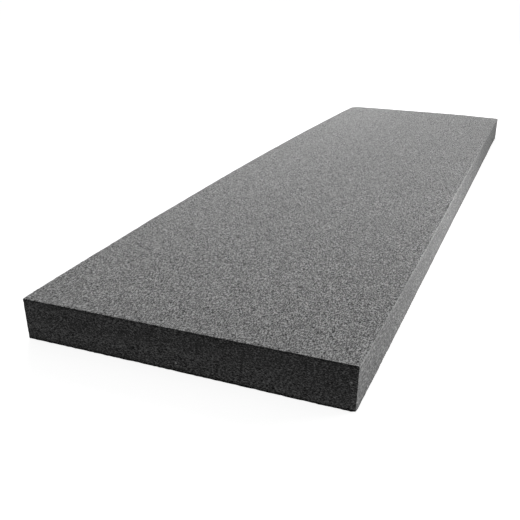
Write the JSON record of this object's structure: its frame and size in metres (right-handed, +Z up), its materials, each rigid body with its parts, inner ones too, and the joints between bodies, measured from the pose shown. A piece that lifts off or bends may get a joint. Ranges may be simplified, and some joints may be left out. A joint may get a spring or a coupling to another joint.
{
  "type": "foam block",
  "caption": "Long flat rectangular plank of grey closed-cell foam with a slightly bowed long side, used for padding, packing and case inserts.",
  "frame": {"origin": "centre of the bounding box's bottom face, on the surface that the block lies on", "axes": "+Z up through the thickness, +Y along the length away from the near end, +X across the width towards the straight long side"},
  "size_m": [0.3955, 1.3716, 0.0508],
  "materials": {
    "foam": "matte closed-cell polyethylene foam, charcoal grey, finely speckled, darker on the sawn ends"
  },
  "bodies": {
    "root": {"foam_block": "foam"}
  },
  "joints": []
}
